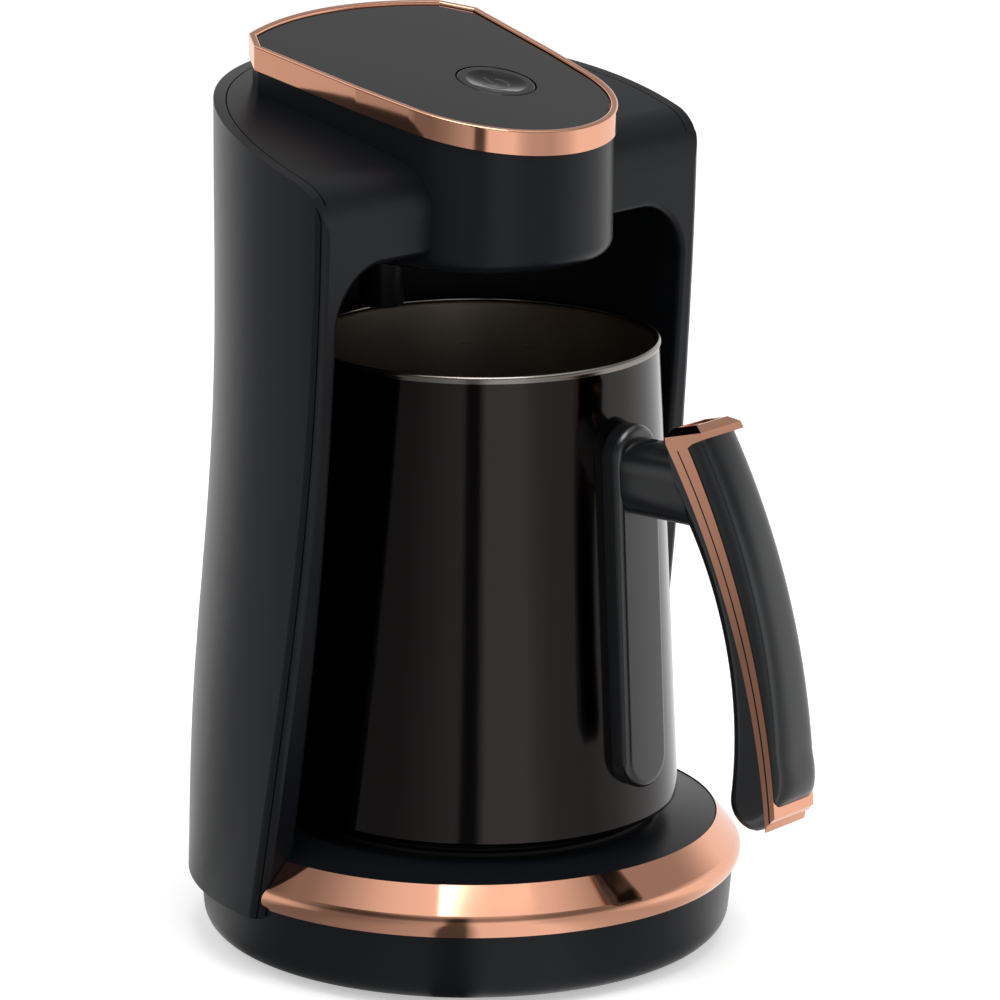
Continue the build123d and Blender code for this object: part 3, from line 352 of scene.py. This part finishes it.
def circle_through(start, middle, end):
    """The centre of the circle through three points."""
    (ax, ay), (bx, by), (cx, cy) = start, middle, end
    a, b, c = ax**2 + ay**2, bx**2 + by**2, cx**2 + cy**2
    turn = 2 * (ax * (by - cy) + bx * (cy - ay) + cx * (ay - by))
    return Vector(((a * (by - cy) + b * (cy - ay) + c * (ay - by)) / turn,
                   (a * (cx - bx) + b * (ax - cx) + c * (bx - ax)) / turn))


def arc_points(points, count):
    """Points along the arc through three points."""
    centre = circle_through(*points)
    first, last = Vector(points[0]) - centre, Vector(points[2]) - centre
    return [centre + first.slerp(last, i / count).normalized() * first.length for i in range(count + 1)]


def on_pot(across, outward, up):
    """A point of the handle, from millimetres in its own side view to metres in the room."""
    return Vector((
        across * math.cos(pot_turn) + outward * math.sin(pot_turn),
        pot_axis_y + across * math.sin(pot_turn) - outward * math.cos(pot_turn),
        up,
    )) / 1000


print("radius of the band's edge, in mm:",
      round((Vector(band_edge[0]) - circle_through(*band_edge)).length))

# %% [markdown]
# The shell's section is half a superellipse: a circle with the powers of its sine and cosine turned
# down, so that it fills out towards a box and still has no edge. At each station a ray from the
# centre of the arc of the band's edge measures the swell, up to the grip's back.

# %% The grip's outer half
grip_half_width = 7.6
grip_inset = 0.3
grip_foot_radius = 3.5
grip_head_trim = 4.0
least_swell = 1.2
foot_share = 0.15
section_power = 0.72
stations = 72
section_steps = 20


def grip_spine(centre):
    """Points along the band's edge, each with the swell over it, as long as there is enough swell."""
    back = arc_points(grip_back, 500) + arc_points(grip_foot, 100)
    spine = []
    for point in arc_points(band_edge, 400):
        ray = point - centre
        hit = min(back, key=lambda far: (far - centre).angle(ray))
        swell = (hit - centre).length - ray.length - grip_inset
        if swell > least_swell:
            spine.append((point, swell))
    return spine


def grip_section(build, point, out, swell, full):
    """One section's points, which shrink towards the foot as full goes from 1 to 0."""
    half_width = grip_half_width - grip_foot_radius * (1 - full) / 2
    fullness = foot_share + (1 - foot_share) * full
    section = []
    for j in range(section_steps + 1):
        angle = math.pi * (j / section_steps - 0.5)
        across = math.copysign(abs(math.sin(angle)) ** section_power, angle) * half_width
        place = point + out * swell * abs(math.cos(angle)) ** section_power * fullness
        section.append(build.verts.new(on_pot(across, place.x, place.y)))
    return section


def grip_mesh():
    """The shell, from its head under the cap to its rounded foot."""
    centre = circle_through(*band_edge)
    spine = grip_spine(centre)
    whole = (spine[-1][0] - spine[0][0]).length
    length = whole - grip_head_trim
    build = bmesh.new()
    rings = []
    for k in range(stations + 1):
        share = (1 - math.cos(math.pi * k / stations)) / 2
        point, swell = spine[round((len(spine) - 1) * (grip_head_trim + share * length) / whole)]
        from_foot = min((1 - share) * length / grip_foot_radius, 1)
        full = math.sqrt(1 - (1 - from_foot) ** 2)
        rings.append(grip_section(build, point, (point - centre).normalized(), swell, full))
    for a, b in zip(rings, rings[1:]):
        for j in range(section_steps):
            build.faces.new((a[j], a[j + 1], b[j + 1], b[j]))
        build.faces.new((a[0], b[0], b[-1], a[-1]))
    build.faces.new(rings[0])
    build.faces.new(rings[-1])
    for face in build.faces:
        face.smooth = True
    bmesh.ops.recalc_face_normals(build, faces=build.faces)
    mesh = bpy.data.meshes.new("grip_shell")
    build.to_mesh(mesh)
    build.free()
    mesh.set_sharp_from_angle(angle=sharp_angle)
    return mesh


grip_shell = add_piece("grip_shell", grip_mesh(), "pot", [handle_abs])
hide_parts("handle_outer")
print("grip:", len(grip_shell.data.vertices), "points")

# %% [markdown]
# The band and the cap are one plated moulding. Its side view is one closed outline, carried across
# the grip. A bevel of one segment cuts the facets of the cap's top, and an inset sinks the black
# insert. Those two work on the finished mesh, so their sizes are in metres. Down each flank a fine
# groove runs between two strips of plating. Its shade is painted as a thin black strip, a hair above the
# plating, with the insert's material, the second one.

# %% The grip's band and cap
dark = 1
facet = 0.0018
insert_margin = 0.001
insert_wall = 0.0001
insert_depth = 0.0009
band_half_width = 7.95
# Painted shade of the groove: how far the black strip stands off the plating, and its half width.
groove_shade_proud = 0.03
groove_shade_half_width = 0.2
cap_top = [(63.5, 142.0), (73.9, 144.8)]
cap_rear = [(75.75, 141.75), (72.1, 139.95)]
band_front = arc_points([(64.25, 138.5), (86.0, 93.5), (96.2, 46.9)], 30)
band_rear = arc_points([(70.85, 138.8), (90.0, 95.0), (98.9, 50.9)], 30)
# The line of the groove down the band, where its shade is painted as a black strip.
groove_shade_line = arc_points([(67.8, 137.6), (88.0, 94.2), (97.4, 49.4)], 40)
band_foot = [p for p in arc_points(grip_foot, 60) if p.y < 50.8 and p.x > 96.3]


def band_mesh():
    """The moulding's side view carried across the grip, with its top edges cut to facets."""
    build = bmesh.new()
    outline = [Vector(p) for p in cap_top + cap_rear] + band_rear + band_foot + band_front[::-1]
    left, right = [[build.verts.new(on_pot(side * band_half_width, p.x, p.y)) for p in outline]
                   for side in (-1, 1)]
    build.faces.new(left)
    build.faces.new(right)
    around = [build.faces.new((left[i], left[(i + 1) % len(left)], right[(i + 1) % len(left)], right[i]))
              for i in range(len(outline))]
    bmesh.ops.recalc_face_normals(build, faces=build.faces)
    bmesh.ops.bevel(build, geom=list(around[0].edges), offset=facet, segments=1, affect="EDGES")
    upward = [face for face in build.faces if len(face.verts) == 4 and face.normal.z > 0.9]
    insert = max(upward, key=lambda face: face.calc_area())
    bmesh.ops.inset_individual(build, faces=[insert], thickness=insert_margin)
    bmesh.ops.inset_individual(build, faces=[insert], thickness=insert_wall, depth=-insert_depth)
    insert.material_index = dark
    # Painted shade: a thin black strip down each flank stands for the shade in the groove between the two
    # strips of plating.
    for side in (-1, 1):
        across = side * (band_half_width + groove_shade_proud)
        rows = [[build.verts.new(on_pot(across, p.x + shift, p.y))
                 for shift in (-groove_shade_half_width, groove_shade_half_width)] for p in groove_shade_line]
        for a, b in zip(rows, rows[1:]):
            build.faces.new((a[0], a[1], b[1], b[0])).material_index = dark
    mesh = bpy.data.meshes.new("grip_band")
    build.to_mesh(mesh)
    build.free()
    return mesh


grip_band = add_piece("grip_band", band_mesh(), "pot", [rose_copper, gloss_abs])
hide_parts("handle_trim")
print("band:", len(grip_band.data.polygons), "faces")

# %% [markdown]
# ## The button's mark
#
# The power mark is the common one, a broken ring with an upright stroke in the gap. It is printed
# in grey in the button's dish, so the strips follow the dish, a hair above it.

# %% Power mark
button_middle = Vector((5.0, 0.0))
panel_y, panel_z = -4, 218.5
head_tilt = math.radians(11.8)
dish_sphere = 32.5
dish_radius = 7.6
dish_edge_depth = 0.7
dish_depth = 0.9
mark_radius = 3.3
mark_width = 0.75


def on_button(x, y, lift=0.03):
    """A point of the button's dish, from millimetres along the panel to metres in the room."""
    reach = min(math.hypot(x, y), dish_radius)
    sunk = dish_edge_depth + dish_depth - (dish_sphere - math.sqrt(dish_sphere**2 - reach**2)) - lift
    along, across = button_middle.y + y, button_middle.x + x
    return Vector((
        across,
        panel_y + along * math.cos(head_tilt) + sunk * math.sin(head_tilt),
        panel_z + along * math.sin(head_tilt) - sunk * math.cos(head_tilt),
    )) / 1000


def strip(build, line, width):
    """A flat strip along a line of (x, y) points on the button."""
    sides = []
    for i, (x, y) in enumerate(line):
        ahead = Vector(line[min(i + 1, len(line) - 1)]) - Vector(line[max(i - 1, 0)])
        off = Vector((-ahead.y, ahead.x)).normalized() * width / 2
        sides.append((build.verts.new(on_button(x + off.x, y + off.y)),
                      build.verts.new(on_button(x - off.x, y - off.y))))
    for a, b in zip(sides, sides[1:]):
        build.faces.new((a[0], a[1], b[1], b[0]))


def power_mark_mesh():
    """The broken ring and the stroke, turned so that the gap is towards the machine's back."""
    build = bmesh.new()
    angles = [math.radians(degrees) for degrees in range(42, 320, 6)]
    ring = [(mark_radius * math.sin(angle), mark_radius * math.cos(angle)) for angle in angles]
    strip(build, ring, mark_width)
    strip(build, [(0, 4.3), (0, 3.0), (0, 1.5), (0, 0.6)], mark_width)
    mesh = bpy.data.meshes.new("power_mark")
    bmesh.ops.recalc_face_normals(build, faces=build.faces)
    build.to_mesh(mesh)
    build.free()
    return mesh


power_mark = add_piece("power_mark", power_mark_mesh(), "button", [printed_ink])
print("power mark:", len(power_mark.data.polygons), "faces")

# %% [markdown]
# ## The studio
#
# Black satin plastic shows little but its highlights, so the room draws the shape. Seen in a
# reflection the room is a ring of walls: a white backdrop behind the machine, soft panels on both
# sides, a dim wall left of the camera, a bright panel right of it, and a narrow dark gap between the
# two, which puts a crisp line in the steel and in the plating. The walls darken upwards, to a white
# ceiling. The floor takes the same tones in a reflection, because upright surfaces seen from above
# mirror the floor. Each row below is an angle from the camera, positive to its right, and a tone.

# %% Room
room_tones = [
    (-130, 1.0), (-114, 0.7), (-100, 0.5), (-92, 0.75), (-80, 0.75), (-70, 0.5), (-60, 0.2),
    (-44, 0.2), (-30, 0.3), (-20, 0.42), (-9, 0.52), (-7, 0.08), (0, 0.08), (4, 0.9), (25, 0.95),
    (32, 0.7), (40, 0.55), (60, 0.5), (75, 0.7), (88, 1.0),
]
wall_fade = (0.2, 0.5)
upper_wall_tone = 0.35
ceiling_fade = (0.68, 0.88)
room_light = 0.6


def room_tone(tree, outward):
    """The socket with the room's tone in the direction of a vector socket."""
    facing = math.atan2(-camera_aim.y, -camera_aim.x)
    turned = add_node(tree, "ShaderNodeMapping", {"Rotation": (0, 0, -facing)}, {"Vector": outward})
    angle = add_node(tree, "ShaderNodeTexGradient", {"gradient_type": "RADIAL"},
                     {"Vector": turned.outputs["Vector"]})
    tones = add_node(tree, "ShaderNodeValToRGB", links={"Fac": angle.outputs["Fac"]})
    ramp = tones.color_ramp
    ramp.elements.remove(ramp.elements[1])
    ramp.elements[0].position = 0
    ramp.elements[0].color = (1, 1, 1, 1)
    for degrees, tone in room_tones:
        ramp.elements.new(degrees / 360 + 0.5).color = (tone, tone, tone, 1)
    return tones.outputs["Color"]


def mix_shaders(tree, factor, first, second):
    """A mix of two shaders by a factor socket."""
    mix = add_node(tree, "ShaderNodeMixShader", links={"Fac": factor})
    tree.links.new(first.outputs[0], mix.inputs[1])
    tree.links.new(second.outputs[0], mix.inputs[2])
    return mix


def make_room():
    """A white room to the eye, graded tones in reflections, and a plain soft light for the rest."""
    world = bpy.data.worlds.new("studio")
    bpy.context.scene.world = world
    world.use_nodes = True
    tree = world.node_tree
    tree.nodes.clear()
    place = add_node(tree, "ShaderNodeTexCoord")
    height = add_node(tree, "ShaderNodeSeparateXYZ", links={"Vector": place.outputs["Generated"]})
    ceiling = add_node(tree, "ShaderNodeMapRange",
                       {"interpolation_type": "SMOOTHSTEP",
                        "From Min": ceiling_fade[0], "From Max": ceiling_fade[1]},
                       {"Value": height.outputs["Z"]})
    falloff = add_node(tree, "ShaderNodeMapRange",
                       {"interpolation_type": "SMOOTHSTEP", "From Min": wall_fade[0],
                        "From Max": wall_fade[1], "To Min": 1, "To Max": upper_wall_tone},
                       {"Value": height.outputs["Z"]})
    tone = room_tone(tree, place.outputs["Generated"])
    walls = add_node(tree, "ShaderNodeBackground",
                     links={"Color": tone, "Strength": falloff.outputs["Result"]})
    white = add_node(tree, "ShaderNodeBackground", {"Color": linear("#ffffff"), "Strength": 1})
    soft = add_node(tree, "ShaderNodeBackground", {"Color": linear("#ffffff"), "Strength": room_light})
    rays = add_node(tree, "ShaderNodeLightPath")
    in_gloss = mix_shaders(tree, ceiling.outputs["Result"], walls, white)
    unseen = mix_shaders(tree, rays.outputs["Is Glossy Ray"], soft, in_gloss)
    through = mix_shaders(tree, rays.outputs["Is Transmission Ray"], unseen, white)
    seen = mix_shaders(tree, rays.outputs["Is Camera Ray"], through, white)
    add_node(tree, "ShaderNodeOutputWorld", links={"Surface": seen.outputs[0]})


make_room()
print("room tones:", len(room_tones))

# %% [markdown]
# The floor is white paper that fills the picture. To the camera it also glows a little, so that it
# comes out white and still keeps the object's soft shadow.

# %% Floor
floor_reach = 6
floor_glow = 0.42


def make_floor():
    """A pale floor that keeps the object's shadow, and takes the room's tones in reflections."""
    floor_mesh = bpy.data.meshes.new("floor")
    corners = [(-floor_reach, -floor_reach, 0), (floor_reach, -floor_reach, 0),
               (floor_reach, floor_reach, 0), (-floor_reach, floor_reach, 0)]
    floor_mesh.from_pydata(corners, [], [(0, 1, 2, 3)])
    floor = bpy.data.objects.new("floor", floor_mesh)
    bpy.context.collection.objects.link(floor)
    material, tree = new_material("floor_paper")
    rays = add_node(tree, "ShaderNodeLightPath")
    place = add_node(tree, "ShaderNodeNewGeometry")
    paper = add_node(tree, "ShaderNodeBsdfDiffuse", {"Color": linear("#f2f2f2")})
    glow = add_node(tree, "ShaderNodeEmission", {"Color": linear("#ffffff"), "Strength": floor_glow})
    lit_paper = add_node(tree, "ShaderNodeAddShader")
    tree.links.new(paper.outputs[0], lit_paper.inputs[0])
    tree.links.new(glow.outputs[0], lit_paper.inputs[1])
    toned = add_node(tree, "ShaderNodeEmission", links={"Color": room_tone(tree, place.outputs["Position"])})
    unseen = mix_shaders(tree, rays.outputs["Is Glossy Ray"], paper, toned)
    close_material(tree, mix_shaders(tree, rays.outputs["Is Camera Ray"], unseen, lit_paper))
    floor_mesh.materials.append(material)


make_floor()
print("floor:", 2 * floor_reach, "m across")

# %% [markdown]
# Three wide lamps give a soft, plain light, from above and from both sides. Only the one overhead
# shows in gloss, as a highlight on what slopes upwards.

# %% Lamps
light_aim = Vector((0, 0, 0.12))


def add_light(name, place, size, watts, in_gloss=False):
    """A soft rectangular lamp at a place, turned to the machine's middle, seen in gloss or not."""
    lamp = bpy.data.lights.new(name, "AREA")
    lamp.shape = "RECTANGLE"
    lamp.size, lamp.size_y = size
    lamp.energy = watts
    light = bpy.data.objects.new(name, lamp)
    light.location = place
    light.rotation_euler = (light_aim - Vector(place)).to_track_quat("-Z", "Y").to_euler()
    light.visible_glossy = in_gloss
    bpy.context.collection.objects.link(light)


add_light("left_softbox", (-1.1, 0.35, 0.5), (0.5, 1.2), 4)
add_light("right_softbox", (0.7, -1.1, 0.6), (0.5, 1.2), 4)
add_light("top_softbox", (-0.2, -0.3, 1.3), (0.7, 0.7), 6, in_gloss=True)
print("lamps:", len(bpy.data.lights))
